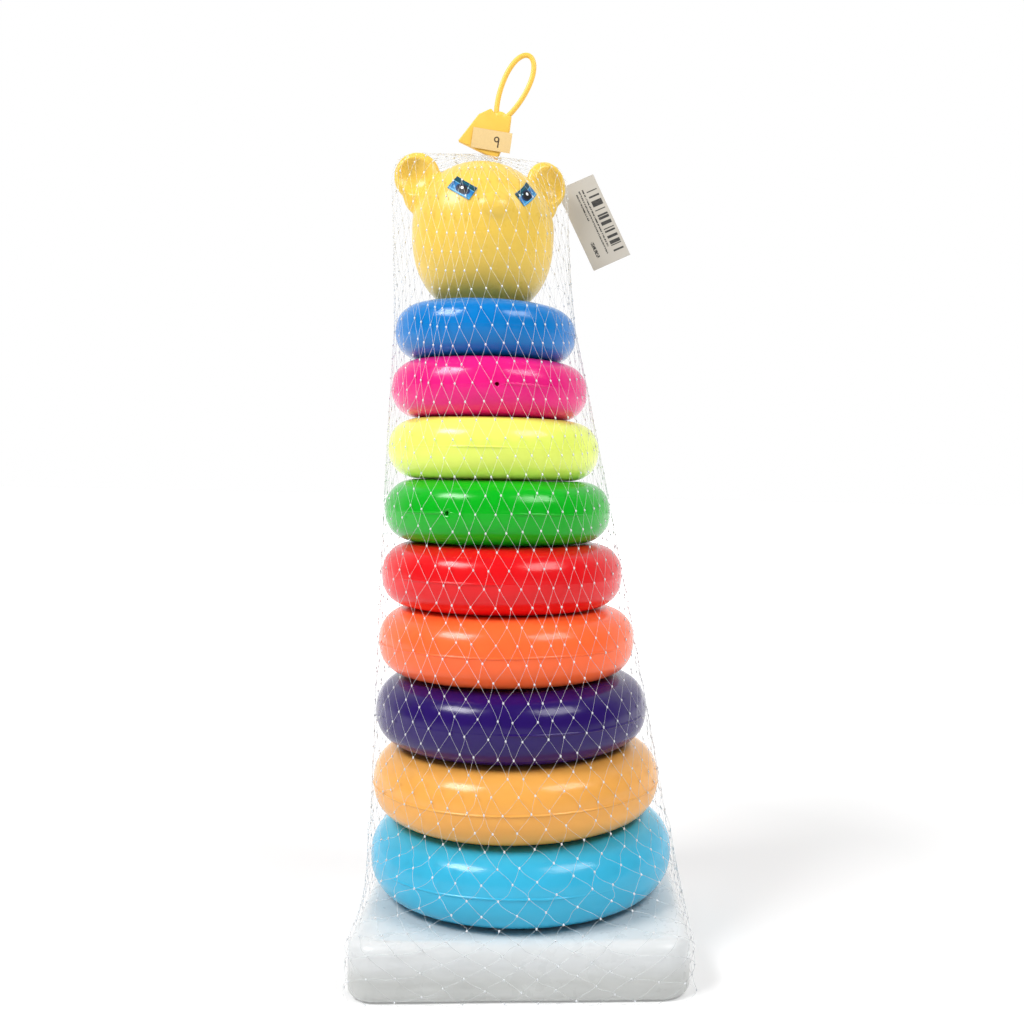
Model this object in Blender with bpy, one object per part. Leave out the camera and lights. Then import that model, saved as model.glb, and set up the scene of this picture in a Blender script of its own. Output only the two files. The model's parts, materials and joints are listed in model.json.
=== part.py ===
"""Stacking ring toy in its retail net, as a Blender model in metres with +Z up.

A hollow square base holds a tapered hollow post. Nine hollow rings, evenly graded in diameter
and thickness, are threaded on the post, and a bear's head stands on the post's top. A net hangs
over the whole toy from a clip with a hanging loop, and carries a price tag.

The post stands loosely in its socket and leans towards -X. Each ring lies level on the one below,
so the stack steps sideways with the post. The head stands level on top of it.

The origin is the centre of the base's underside. The toy's front is towards -Y.
"""

from math import copysign, cos, pi, radians, sin, sqrt, tan

import bmesh
import bpy
from mathutils import Matrix, Vector

# Clearances and walls
GAP = 0.0003  # between pieces that touch on the real toy
WALL = 0.0014  # blow-moulded wall

# Base
BASE_SIDE = 0.144
BASE_CORNER = 0.013
BASE_HEIGHT = 0.025
BASE_EDGE = 0.004
SOCKET_RADIUS = 0.0263
SOCKET_FLOOR = 0.008
BASE_VENT = (0.045, 0.030)
BASE_VENT_RADIUS = 0.002

# Rings: each step up the stack is smaller by the same amount
RING_RADIUS = 0.070
RING_RADIUS_STEP = 0.00355
RING_THICKNESS = 0.0341
RING_THICKNESS_STEP = 0.0011
RING_EXTRA_WIDTH = 0.003  # how much wider than thick the section is
SECTION_POWER = 2.3  # 2 is an ellipse, and more is squarer
RING_STEPS = 20
SECTION_STEPS = 12
VENT_RADIUS = 0.001
VENT_STEPS = 8
# From the bottom one up: node name, and the direction that its needle vent faces in degrees
RINGS = (
    ("ring_1_light_blue", -15),
    ("ring_2_light_orange", 150),
    ("ring_3_purple", 60),
    ("ring_4_orange", 200),
    ("ring_5_red", 100),
    ("ring_6_green", -112),
    ("ring_7_yellow", 30),
    ("ring_8_pink", -83),
    ("ring_9_blue", 170),
)

# Post
POST_LEAN = radians(5)
RING_PLAY = 0.0018  # between the post and a ring's hole
SPIGOT_RADIUS = 0.0062
SPIGOT_LENGTH = 0.014
SPIGOT_PLAY = 0.0025  # the head lifts off along the leaning post

# Head, with heights above its underside
HEAD_RADIUS = 0.0327
HEAD_WIDEST = 0.035
HEAD_HEIGHT = 0.0665
HEAD_LOWER_AXIS = 0.0385  # half height of the superellipse that the lower part follows
HEAD_LOWER_POWER = 2.4
HEAD_FOOT_RADIUS = 0.0195
HEAD_OFFSET = -0.001  # it stands a little to one side on its loose spigot
HEAD_TURN = radians(14)  # how far the face looks round from -Y towards +X
HEAD_STEPS = 28
HEAD_LEVELS = 6  # below the widest part, and again above it
EAR_SETBACK = 0.004
EAR_SWEEP = radians(20)  # how far the ears' outer edges are swept back
EAR_OFFSET = 0.0304
EAR_RISE = 0.0580
EAR_RADII = (0.0108, 0.0048, 0.0112)
EAR_ROOT_OFFSET = 0.0290
EAR_ROOT_RISE = 0.0500
EAR_ROOT_RADII = (0.0078, 0.0044, 0.0095)
EAR_STEPS = 16
MUZZLE_RISE = 0.0390
MUZZLE_REACH = 0.0235
MUZZLE_RADII = (0.0115, 0.0110, 0.0095)
EYE_ANGLE = radians(29)
EYE_RISE = 0.0475
EYE_LENGTH = 0.0125
EYE_WIDTH = 0.0060
EYE_TILT = radians(27)  # the inner end is the lower one
EYE_STEPS = 4
STICKER_THICKNESS = 0.0003

# Net bag
NET_GAP = 0.0008
NET_BASE_GAP = 0.0024  # the net lifts off along the leaning post too
NET_HEAD_GAP = 0.0018  # the eye stickers stand between the net and the head
NET_THICKNESS = 0.0001
NET_HEM = 0.002
NET_NECK_RADIUS = 0.002
NET_NECK_FOOT_RADIUS = 0.004
NET_NECK_ROOT = 0.005  # how far the neck starts below the top of the net

# Clip, in its own plane: across its lower edge, then up its axis
CLIP_OFFSET = -0.0042  # from the middle of the head
CLIP_SETBACK = 0.011
CLIP_SINK = 0.0004  # of its lower corner below the net's highest point
CLIP_LEAN = radians(24)
CLIP_THICKNESS = 0.003
CLIP_HALF_FOOT = 0.0101
CLIP_OUTLINE = (
    (-CLIP_HALF_FOOT, 0.0),
    (CLIP_HALF_FOOT, 0.0),
    (0.0098, 0.0150),
    (0.0075, 0.0220),
    (0.0025, 0.0182),
    (-0.0025, 0.0207),
    (-0.0066, 0.0157),
)
LOOP_CENTRE = (0.0030, 0.0345)
LOOP_HALF_LENGTH = 0.0167
LOOP_HALF_WIDTH = 0.0058
LOOP_FLARE = 0.2  # how much wider it is towards its top
LOOP_RADIUS = 0.00105
LOOP_STEPS = 32
COUNT_STICKER_CENTRE = (0.0042, 0.0070)
COUNT_STICKER_SIZE = (0.0185, 0.0095)
COUNT_STICKER_TURN = radians(-16.6)

# Price tag: it hangs from its upper inner corner
TAG_PIN = Vector((0.0100, 0.0250, 0.3570))
TAG_WIDTH = 0.020
TAG_LENGTH = 0.043
TAG_LEAN = radians(-26.5)
TAG_THICKNESS = 0.0004
PAPER_CORNER = 0.0015


def colour(red, green, blue):
    """A display colour, 0 to 255, as the linear values that a shader takes."""

    def linear(value):
        share = value / 255
        return share / 12.92 if share <= 0.04045 else ((share + 0.055) / 1.055) ** 2.4

    return (linear(red), linear(green), linear(blue), 1.0)


COLOURS = {
    "ring_1_light_blue": colour(74, 193, 230),
    "ring_2_light_orange": colour(250, 188, 97),
    "ring_3_purple": colour(60, 44, 128),
    "ring_4_orange": colour(253, 120, 68),
    "ring_5_red": colour(237, 45, 48),
    "ring_6_green": colour(5, 190, 45),
    "ring_7_yellow": colour(240, 250, 120),
    "ring_8_pink": colour(238, 55, 145),
    "ring_9_blue": colour(10, 105, 195),
    "base_plastic": colour(226, 229, 232),
    "post_plastic": colour(238, 238, 236),
    "head_plastic": colour(242, 212, 108),
    "clip_plastic": colour(252, 218, 95),
    "net_thread": colour(244, 244, 244),
    "eye_print": colour(30, 120, 165),
    "sticker_paper": colour(228, 197, 130),
    "tag_paper": colour(210, 205, 196),
}


def material(name, roughness):
    made = bpy.data.materials.get(name) or bpy.data.materials.new(name)
    made.use_nodes = True
    shader = made.node_tree.nodes["Principled BSDF"]
    shader.inputs["Base Color"].default_value = COLOURS[name]
    shader.inputs["Roughness"].default_value = roughness
    shader.inputs["Metallic"].default_value = 0.0
    return made


def add_piece(name, mesh, slot, roughness=0.3):
    piece = bpy.data.objects.new(name, mesh)
    bpy.context.scene.collection.objects.link(piece)
    mesh.materials.append(material(slot, roughness))
    return piece


def add_cutter(mesh):
    """A shape that a Boolean uses, which is never rendered."""
    cutter = bpy.data.objects.new(mesh.name, mesh)
    bpy.context.scene.collection.objects.link(cutter)
    cutter.hide_render = True
    cutter.display_type = "WIRE"
    return cutter


def boolean(target, cutter, operation="DIFFERENCE"):
    modifier = target.modifiers.new(cutter.name, "BOOLEAN")
    modifier.operation = operation
    modifier.solver = "EXACT"
    modifier.object = cutter


def finished(bm, name):
    bmesh.ops.recalc_face_normals(bm, faces=bm.faces)
    mesh = bpy.data.meshes.new(name)
    bm.to_mesh(mesh)
    bm.free()
    mesh.shade_smooth()
    mesh.set_sharp_from_angle(angle=radians(40))
    return mesh


def turned(name, profile, steps, closed=False):
    """A mesh turned about Z from a profile of (radius, height). An open profile starts and ends
    on the axis, and a stretch along the axis makes no face."""
    bm = bmesh.new()
    points = [bm.verts.new((radius, 0, height)) for radius, height in profile]
    pairs = list(zip(points, points[1:]))
    if closed:
        pairs.append((points[-1], points[0]))
    edges = [bm.edges.new(pair) for pair in pairs if max(pair[0].co.x, pair[1].co.x) > 0]
    bmesh.ops.spin(
        bm,
        geom=points + edges,
        cent=(0, 0, 0),
        axis=(0, 0, 1),
        angle=2 * pi,
        steps=steps,
        use_merge=True,
    )
    bmesh.ops.remove_doubles(bm, verts=bm.verts, dist=1e-6)
    return finished(bm, name)


def ellipsoid(name, centre, radii):
    bm = bmesh.new()
    bmesh.ops.create_uvsphere(bm, u_segments=EAR_STEPS, v_segments=EAR_STEPS // 2, radius=1)
    place = Matrix.Translation(centre) @ Matrix.Diagonal((*radii, 1))
    bmesh.ops.transform(bm, matrix=place, verts=bm.verts)
    return finished(bm, name)


def cone(name, start, end, start_radius, end_radius, steps):
    """A round bar from one point to another."""
    along = end - start
    turn = along.to_track_quat("Z", "Y").to_matrix().to_4x4()
    bm = bmesh.new()
    bmesh.ops.create_cone(
        bm,
        cap_ends=True,
        segments=steps,
        radius1=start_radius,
        radius2=end_radius,
        depth=along.length,
        matrix=Matrix.Translation((start + end) / 2) @ turn,
    )
    return finished(bm, name)


def prism(name, outline, thickness, place):
    """A plate: an outline in its own X-Z plane, with its thickness along Y."""
    bm = bmesh.new()
    front = bm.faces.new([bm.verts.new((x, -thickness / 2, z)) for x, z in outline])
    back = bmesh.ops.extrude_face_region(bm, geom=[front])["geom"]
    moved = [item for item in back if isinstance(item, bmesh.types.BMVert)]
    bmesh.ops.translate(bm, verts=moved, vec=(0, thickness, 0))
    bmesh.ops.transform(bm, matrix=place, verts=bm.verts)
    return finished(bm, name)


def hull(name, points):
    bm = bmesh.new()
    for point in points:
        bm.verts.new(point)
    made = bmesh.ops.convex_hull(bm, input=bm.verts)
    inside = made["geom_interior"] + made["geom_unused"]
    spare = {item for item in inside if isinstance(item, bmesh.types.BMVert)}
    bmesh.ops.delete(bm, geom=list(spare), context="VERTS")
    return finished(bm, name)


def rounded_square(half, corner, steps=4):
    """The outline of a square with round corners, anticlockwise."""
    outline = []
    for quarter in range(4):
        middle = (quarter + 0.5) * pi / 2
        centre_x = copysign(half - corner, cos(middle))
        centre_y = copysign(half - corner, sin(middle))
        for step in range(steps + 1):
            angle = (quarter + step / steps) * pi / 2
            outline.append((centre_x + corner * cos(angle), centre_y + corner * sin(angle)))
    return outline


def slab_loops(half, corner, low, high, edge, steps=3):
    """The outlines of a square slab with round corners, from the bottom up: those of its round
    lower edge, then as many for its round upper edge."""
    levels = []
    for step in range(steps + 1):
        angle = step / steps * pi / 2
        levels.append((edge * (1 - sin(angle)), low + edge * (1 - cos(angle))))
    for step in range(steps + 1):
        angle = step / steps * pi / 2
        levels.append((edge * (1 - cos(angle)), high - edge * (1 - sin(angle))))
    loops = []
    for inset, height in levels:
        outline = rounded_square(half - inset, corner - inset)
        loops.append([Vector((x, y, height)) for x, y in outline])
    return loops


def slab(name, loops):
    bm = bmesh.new()
    rows = [[bm.verts.new(point) for point in loop] for loop in loops]
    for lower, upper in zip(rows, rows[1:]):
        for i in range(len(lower)):
            following = (i + 1) % len(lower)
            bm.faces.new((lower[i], lower[following], upper[following], upper[i]))
    bm.faces.new(reversed(rows[0]))
    bm.faces.new(rows[-1])
    return finished(bm, name)


def make_base():
    """A hollow slab with a socket for the post and a vent in its underside."""
    half = BASE_SIDE / 2
    outer = slab_loops(half, BASE_CORNER, 0, BASE_HEIGHT, BASE_EDGE)
    base = add_piece("base", slab("base", outer), "base_plastic", 0.45)
    inner = slab_loops(
        half - WALL, BASE_CORNER - WALL, WALL, BASE_HEIGHT - WALL, BASE_EDGE - WALL, steps=2
    )
    cavity = add_cutter(slab("base_cavity", inner))
    below = Vector((0, 0, -BASE_HEIGHT))
    above = Vector((0, 0, 2 * BASE_HEIGHT))
    boss_radius = SOCKET_RADIUS + WALL
    boss = cone("socket_boss", below, above, boss_radius, boss_radius, RING_STEPS)
    boolean(cavity, add_cutter(boss))
    boolean(base, cavity)

    floor = Vector((0, 0, SOCKET_FLOOR))
    socket = cone("post_socket", floor, above, SOCKET_RADIUS, SOCKET_RADIUS, RING_STEPS)
    boolean(base, add_cutter(socket))

    vent_foot = Vector((*BASE_VENT, -WALL))
    vent_end = Vector((*BASE_VENT, BASE_HEIGHT / 2))
    vent = cone("base_vent", vent_foot, vent_end, BASE_VENT_RADIUS, BASE_VENT_RADIUS, VENT_STEPS)
    boolean(base, add_cutter(vent))


def lean_at(height):
    """How far sideways the middle of the post is at a height."""
    return -tan(POST_LEAN) * max(0.0, height - BASE_HEIGHT)


def ring_sizes():
    """(name, outer radius, half width and half thickness of the section, height of the middle,
    vent direction) for each ring, each one resting on the one below, and the stack's top."""
    sizes = []
    top = BASE_HEIGHT
    for i, (name, vent_angle) in enumerate(RINGS):
        radius = RING_RADIUS - i * RING_RADIUS_STEP
        half_thick = (RING_THICKNESS - i * RING_THICKNESS_STEP) / 2
        half_wide = half_thick + RING_EXTRA_WIDTH / 2
        middle = top + GAP + half_thick
        sizes.append((name, radius, half_wide, half_thick, middle, radians(vent_angle)))
        top = middle + half_thick
    return sizes, top


def section(centre_line, half_wide, half_thick):
    """A rounded section as the profile of a ring, with flats at its top, bottom and sides."""
    power = 2 / SECTION_POWER
    corners = []
    for step in range(SECTION_STEPS):
        angle = 2 * pi * (step + 0.5) / SECTION_STEPS
        across = copysign(abs(cos(angle)) ** power, cos(angle))
        up = copysign(abs(sin(angle)) ** power, sin(angle))
        corners.append((across, up))
    widest = max(across for across, _ in corners)
    highest = max(up for _, up in corners)
    return [
        (centre_line + half_wide * across / widest, half_thick * up / highest)
        for across, up in corners
    ]


def make_ring(name, radius, half_wide, half_thick, middle, vent_angle):
    """A hollow ring with the small vent that a blow needle leaves in its outer side."""
    centre_line = radius - half_wide
    outer = section(centre_line, half_wide, half_thick)
    ring = add_piece(name, turned(name, outer, RING_STEPS, closed=True), name)
    inner = section(centre_line, half_wide - WALL, half_thick - WALL)
    core = add_cutter(turned(name + "_core", inner, RING_STEPS, closed=True))
    boolean(ring, core)

    outwards = Vector((cos(vent_angle), sin(vent_angle), 0))
    start = outwards * centre_line
    end = outwards * (radius + half_thick)
    vent = add_cutter(cone(name + "_vent", start, end, VENT_RADIUS, VENT_RADIUS, VENT_STEPS))
    boolean(ring, vent)
    for piece in (ring, core, vent):
        piece.location = (lean_at(middle), 0, middle)


def make_post(sizes, stack_top):
    """A hollow cone that fits the holes of the lowest and highest rings, with an upright spigot
    at each end: one in the base's socket and one for the head. It returns the height of its top."""
    low_ring, high_ring = sizes[0], sizes[-1]
    low_radius = low_ring[1] - 2 * low_ring[2] - RING_PLAY
    high_radius = high_ring[1] - 2 * high_ring[2] - RING_PLAY
    taper = (low_radius - high_radius) / (high_ring[4] - low_ring[4])

    def outside(height):
        return low_radius - taper * (height - low_ring[4])

    foot = BASE_HEIGHT + GAP
    end = stack_top + SPIGOT_LENGTH
    plug = SOCKET_RADIUS - GAP
    profile = [
        (plug, SOCKET_FLOOR + GAP),
        (plug, foot),
        (outside(foot), foot),
        (outside(stack_top), stack_top),
        (SPIGOT_RADIUS, stack_top),
        (SPIGOT_RADIUS, end),
        (0, end),
        (0, end - WALL),
        (SPIGOT_RADIUS - WALL, end - WALL),
        (SPIGOT_RADIUS - WALL, stack_top - WALL),
        (outside(stack_top) - WALL, stack_top - WALL),
        (outside(foot) - WALL, foot + WALL),
        (plug - WALL, foot + WALL),
        (plug - WALL, SOCKET_FLOOR + GAP),
    ]
    mesh = turned("post", profile, RING_STEPS, closed=True)
    for vertex in mesh.vertices:
        vertex.co.x += lean_at(min(vertex.co.z, stack_top))
    add_piece("post", mesh, "post_plastic")
    return end


def head_radius(rise):
    """The head's radius at a height above its underside: an egg on a short round foot."""
    if rise > HEAD_WIDEST:
        share = (rise - HEAD_WIDEST) / (HEAD_HEIGHT - HEAD_WIDEST)
        return HEAD_RADIUS * sqrt(max(0.0, 1 - share**2))
    share = (HEAD_WIDEST - rise) / HEAD_LOWER_AXIS
    lower = HEAD_RADIUS * (1 - share**HEAD_LOWER_POWER) ** (1 / HEAD_LOWER_POWER)
    return max(lower, HEAD_FOOT_RADIUS)


def head_profile(inset=0.0):
    """The head's profile from its foot to its top, set in by a wall."""
    shares = [step / HEAD_LEVELS for step in range(HEAD_LEVELS + 1)]
    rises = [HEAD_WIDEST * share for share in shares[:-1]]
    rises += [HEAD_WIDEST + (HEAD_HEIGHT - HEAD_WIDEST) * sin(share * pi / 2) for share in shares]
    scale = 1 - inset / HEAD_RADIUS
    return [
        (head_radius(rise) * scale, HEAD_WIDEST + (rise - HEAD_WIDEST) * scale)
        for rise in rises
    ]


def head_foot(underside):
    return Vector((lean_at(underside) + HEAD_OFFSET, 0, underside))


def stand_on_post(piece, underside):
    """Put a piece that was modelled on the head's own axis where the head is."""
    piece.location = head_foot(underside)
    piece.rotation_euler.z = HEAD_TURN


def ear_place(side, offset, rise):
    """The frame of an ear's part, whose X runs outwards along the ear."""
    middle = Vector((side * offset, EAR_SETBACK, rise))
    return Matrix.Translation(middle) @ Matrix.Rotation(side * EAR_SWEEP, 4, "Z")


def ear_part(name, side, offset, rise, radii):
    mesh = ellipsoid(name, (0, 0, 0), radii)
    mesh.transform(ear_place(side, offset, rise))
    return mesh


def make_head(underside, spigot_end):
    """The hollow head with its ears and muzzle, and a socket for the post's upper spigot. It is
    modelled facing -Y, then turned."""
    outer = [(0, 0), *head_profile()]
    head = add_piece("head", turned("head", outer, HEAD_STEPS), "head_plastic")
    pieces = [head]

    def apply(mesh, operation):
        pieces.append(add_cutter(mesh))
        boolean(head, pieces[-1], operation)

    for side, word in ((-1, "left"), (1, "right")):
        lobe = ear_part(f"ear_{word}", side, EAR_OFFSET, EAR_RISE, EAR_RADII)
        root = ear_part(f"ear_root_{word}", side, EAR_ROOT_OFFSET, EAR_ROOT_RISE, EAR_ROOT_RADII)
        apply(lobe, "UNION")
        apply(root, "UNION")
    apply(ellipsoid("muzzle", (0, -MUZZLE_REACH, MUZZLE_RISE), MUZZLE_RADII), "UNION")

    inner = head_profile(2 * WALL)
    apply(turned("head_cavity", [(0, inner[0][1]), *inner], HEAD_STEPS), "DIFFERENCE")
    mouth = Vector((0, 0, -WALL))
    depth = Vector((0, 0, spigot_end - underside + WALL))
    hole = SPIGOT_RADIUS + SPIGOT_PLAY
    apply(cone("neck_socket", mouth, depth, hole, hole, HEAD_STEPS), "DIFFERENCE")
    for piece in pieces:
        stand_on_post(piece, underside)


def make_eye(name, side, underside):
    """A printed sticker that follows the head's curve."""
    bm = bmesh.new()

    def grid(lift):
        lines = []
        for row in range(EYE_STEPS + 1):
            line = []
            for column in range(EYE_STEPS + 1):
                across = (column / EYE_STEPS - 0.5) * EYE_LENGTH
                up = (row / EYE_STEPS - 0.5) * EYE_WIDTH
                outwards = across * cos(EYE_TILT) - up * sin(EYE_TILT)
                rise = EYE_RISE + across * sin(EYE_TILT) + up * cos(EYE_TILT)
                angle = side * (EYE_ANGLE + outwards / head_radius(EYE_RISE))
                radius = head_radius(rise) + lift
                line.append(bm.verts.new((radius * sin(angle), -radius * cos(angle), rise)))
            lines.append(line)
        return lines

    def border(lines):
        right = [line[-1] for line in lines]
        left = [line[0] for line in lines]
        return lines[0][:-1] + right[:-1] + lines[-1][:0:-1] + left[:0:-1]

    inner, outer = grid(GAP), grid(GAP + STICKER_THICKNESS)
    for lines in (inner, outer):
        for low, high in zip(lines, lines[1:]):
            for i in range(EYE_STEPS):
                bm.faces.new((low[i], low[i + 1], high[i + 1], high[i]))
    inside, outside = border(inner), border(outer)
    for i in range(len(inside)):
        following = (i + 1) % len(inside)
        bm.faces.new((inside[i], inside[following], outside[following], outside[i]))
    eye = add_piece(name, finished(bm, name), "eye_print", 0.2)
    stand_on_post(eye, underside)


def circle(radius, height, steps, middle=0.0):
    angles = [2 * pi * step / steps for step in range(steps)]
    return [Vector((middle + radius * cos(angle), radius * sin(angle), height)) for angle in angles]


def net_points(sizes, underside, lift, hem):
    """Points whose hull is the net drawn tight over the toy, at a distance from it."""
    half = BASE_SIDE / 2 + lift + NET_BASE_GAP - NET_GAP
    corner = BASE_CORNER + lift + NET_BASE_GAP - NET_GAP
    points = [Vector((x, y, hem)) for x, y in rounded_square(half, corner)]
    base_loops = slab_loops(half, corner, 0, BASE_HEIGHT + lift, BASE_EDGE + lift)
    for loop in base_loops[len(base_loops) // 2 :]:
        points += loop
    for _, radius, _, half_thick, middle, _ in sizes:
        for height in (middle - half_thick / 3, middle + half_thick / 3):
            points += circle(radius + lift, height, RING_STEPS, lean_at(middle))

    on_head = []
    clear = lift + NET_HEAD_GAP - NET_GAP
    for radius, rise in head_profile():
        on_head += circle(radius + clear, rise, HEAD_STEPS)
    ear_wide, ear_deep, ear_high = EAR_RADII
    for side in (-1, 1):
        place = ear_place(side, EAR_OFFSET, EAR_RISE)
        for depth in (-ear_deep, ear_deep):
            for point in circle(1, 0, EAR_STEPS):
                across, up = (ear_wide + clear) * point.x, (ear_high + clear) * point.y
                on_head.append(place @ Vector((across, depth, up)))
    wide, deep, high = MUZZLE_RADII
    for across in (-wide / 2, wide / 2):
        for up in (-high / 2, high / 2):
            on_head.append(Vector((across, -MUZZLE_REACH - deep - clear, MUZZLE_RISE + up)))
    turn = Matrix.Rotation(HEAD_TURN, 3, "Z")
    return points + [turn @ point + head_foot(underside) for point in on_head]


def make_net(sizes, underside):
    """The net as one thin skin, open below, with its gathered neck. It returns the middle of
    the clip's lower edge, which stands on that neck."""
    outside = net_points(sizes, underside, NET_GAP + NET_THICKNESS, NET_HEM)
    net = add_piece("net_bag", hull("net_bag", outside), "net_thread", 0.5)
    net_top = max(point.z for point in outside)
    clip_foot = net_top - CLIP_SINK + CLIP_HALF_FOOT * sin(CLIP_LEAN) + 2 * GAP

    neck_foot = head_foot(underside) + Vector((CLIP_OFFSET, CLIP_SETBACK, 0))
    neck_top = neck_foot.copy()
    neck_foot.z = net_top - NET_NECK_ROOT
    neck_top.z = clip_foot - NET_NECK_RADIUS * tan(CLIP_LEAN) - 2 * GAP
    neck = cone("net_neck", neck_foot, neck_top, NET_NECK_FOOT_RADIUS, NET_NECK_RADIUS, VENT_STEPS)
    boolean(net, add_cutter(neck), "UNION")
    inside = net_points(sizes, underside, NET_GAP, -NET_HEM)
    boolean(net, add_cutter(hull("net_inside", inside)))
    return Vector((neck_top.x, neck_top.y, clip_foot))


def loop_tube(place):
    """The hanging loop: a round strand along an oval that widens towards its top."""
    bm = bmesh.new()
    rings = []
    for step in range(LOOP_STEPS):
        angle = 2 * pi * step / LOOP_STEPS
        across = LOOP_HALF_WIDTH * (1 + LOOP_FLARE * sin(angle)) * cos(angle)
        up = LOOP_HALF_LENGTH * sin(angle)
        middle = Vector((LOOP_CENTRE[0] + across, 0, LOOP_CENTRE[1] + up))
        outwards = Vector((cos(angle) / LOOP_HALF_WIDTH, 0, sin(angle) / LOOP_HALF_LENGTH))
        outwards.normalize()
        ring = []
        for side in range(VENT_STEPS):
            turn = 2 * pi * side / VENT_STEPS
            offset = LOOP_RADIUS * (outwards * cos(turn) + Vector((0, sin(turn), 0)))
            ring.append(bm.verts.new(place @ (middle + offset)))
        rings.append(ring)
    for i, ring in enumerate(rings):
        following = rings[(i + 1) % LOOP_STEPS]
        for j in range(VENT_STEPS):
            k = (j + 1) % VENT_STEPS
            bm.faces.new((ring[j], ring[k], following[k], following[j]))
    return finished(bm, "hang_loop")


def clip_place(clip_foot):
    return Matrix.Translation(clip_foot) @ Matrix.Rotation(CLIP_LEAN, 4, "Y")


def make_clip(clip_foot):
    """The clip and its hanging loop, which are one moulding."""
    place = clip_place(clip_foot)
    body = prism("net_clip", CLIP_OUTLINE, CLIP_THICKNESS, place)
    clip = add_piece("net_clip", body, "clip_plastic")
    boolean(clip, add_cutter(loop_tube(place)), "UNION")


def paper_outline(low_x, high_x, low_z, high_z):
    """A rectangle with its corners cut off."""
    cut = PAPER_CORNER
    return (
        (low_x + cut, low_z),
        (high_x - cut, low_z),
        (high_x, low_z + cut),
        (high_x, high_z - cut),
        (high_x - cut, high_z),
        (low_x + cut, high_z),
        (low_x, high_z - cut),
        (low_x, low_z + cut),
    )


def make_count_sticker(clip_foot):
    wide, high = COUNT_STICKER_SIZE
    front = CLIP_THICKNESS / 2 + GAP + STICKER_THICKNESS / 2
    centre = Vector((COUNT_STICKER_CENTRE[0], -front, COUNT_STICKER_CENTRE[1]))
    turn = Matrix.Rotation(COUNT_STICKER_TURN, 4, "Y")
    place = clip_place(clip_foot) @ Matrix.Translation(centre) @ turn
    outline = paper_outline(-wide / 2, wide / 2, -high / 2, high / 2)
    mesh = prism("count_sticker", outline, STICKER_THICKNESS, place)
    add_piece("count_sticker", mesh, "sticker_paper", 0.6)


def make_price_tag():
    place = Matrix.Translation(TAG_PIN) @ Matrix.Rotation(TAG_LEAN, 4, "Y")
    outline = paper_outline(0, TAG_WIDTH, -TAG_LENGTH, 0)
    mesh = prism("price_tag", outline, TAG_THICKNESS, place)
    add_piece("price_tag", mesh, "tag_paper", 0.6)


def main():
    for old in list(bpy.data.objects):
        bpy.data.objects.remove(old, do_unlink=True)
    make_base()
    sizes, stack_top = ring_sizes()
    for size in sizes:
        make_ring(*size)
    spigot_end = make_post(sizes, stack_top)
    underside = stack_top + GAP
    make_head(underside, spigot_end)
    make_eye("eye_left", -1, underside)
    make_eye("eye_right", 1, underside)
    clip_foot = make_net(sizes, underside)
    make_clip(clip_foot)
    make_count_sticker(clip_foot)
    make_price_tag()


main()
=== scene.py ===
"""Looks of the stacking ring toy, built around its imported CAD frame. Metres, +Z up, front -Y."""

import json
from math import atan2, copysign, cos, hypot, pi, radians, sin, sqrt, tau

import bmesh
import bpy
import numpy as np
from mathutils import Matrix, Vector
from mathutils.bvhtree import BVHTree


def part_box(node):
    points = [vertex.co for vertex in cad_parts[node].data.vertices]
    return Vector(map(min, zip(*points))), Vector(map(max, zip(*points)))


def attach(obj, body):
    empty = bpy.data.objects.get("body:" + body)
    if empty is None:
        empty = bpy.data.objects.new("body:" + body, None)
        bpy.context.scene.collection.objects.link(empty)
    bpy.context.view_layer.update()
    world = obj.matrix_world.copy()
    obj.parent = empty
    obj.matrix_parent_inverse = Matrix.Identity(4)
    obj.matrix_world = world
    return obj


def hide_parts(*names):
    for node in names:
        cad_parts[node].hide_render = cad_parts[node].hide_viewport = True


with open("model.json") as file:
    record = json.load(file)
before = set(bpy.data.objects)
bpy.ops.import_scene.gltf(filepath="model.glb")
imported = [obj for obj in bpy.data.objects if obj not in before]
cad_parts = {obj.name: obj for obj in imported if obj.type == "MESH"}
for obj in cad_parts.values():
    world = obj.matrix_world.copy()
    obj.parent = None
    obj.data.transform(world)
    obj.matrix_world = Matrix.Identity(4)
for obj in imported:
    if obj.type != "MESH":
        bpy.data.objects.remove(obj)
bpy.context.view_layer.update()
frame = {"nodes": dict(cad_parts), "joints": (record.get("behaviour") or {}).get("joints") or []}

MM = 0.001
GAP = 0.3 * MM  # between pieces that touch on the real toy
SPARE = 1.4 * MM  # beyond the end of the post in the head's socket

# ---------------------------------------------------------------- measures read from the frame
RING_NODES = sorted(name for name in frame["nodes"] if name.startswith("ring_"))
BASE_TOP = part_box("base")[1].z
STACK_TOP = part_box(RING_NODES[-1])[1].z
POST_LOW, POST_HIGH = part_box("post")
HEAD_LOW, HEAD_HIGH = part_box("head")


def ring_measures(node):
    """(middle, outer radius, half the section's width, half its thickness) of a ring."""
    low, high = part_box(node)
    half_thick = (high.z - low.z) / 2
    return (low + high) / 2, (high.x - low.x) / 2, half_thick + 1.5 * MM, half_thick


def ramp(value, start, end):
    """How far a value is on its way from start to end, from 0 to 1."""
    return min(1.0, max(0.0, (value - start) / (end - start)))


def heading(turn):
    """The level direction at an angle from +X."""
    return Vector((cos(turn), sin(turn), 0))


def joint_place(name):
    return Vector(next(joint for joint in frame["joints"] if joint["name"] == name)["pos_m"])


LOWEST, HIGHEST = ring_measures(RING_NODES[0]), ring_measures(RING_NODES[-1])
LEAN = (HIGHEST[0].x - LOWEST[0].x) / (HIGHEST[0].z - LOWEST[0].z)


def lean_at(height):
    """How far sideways the middle of the leaning stack is at a height."""
    return LEAN * max(0.0, height - BASE_TOP)


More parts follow.
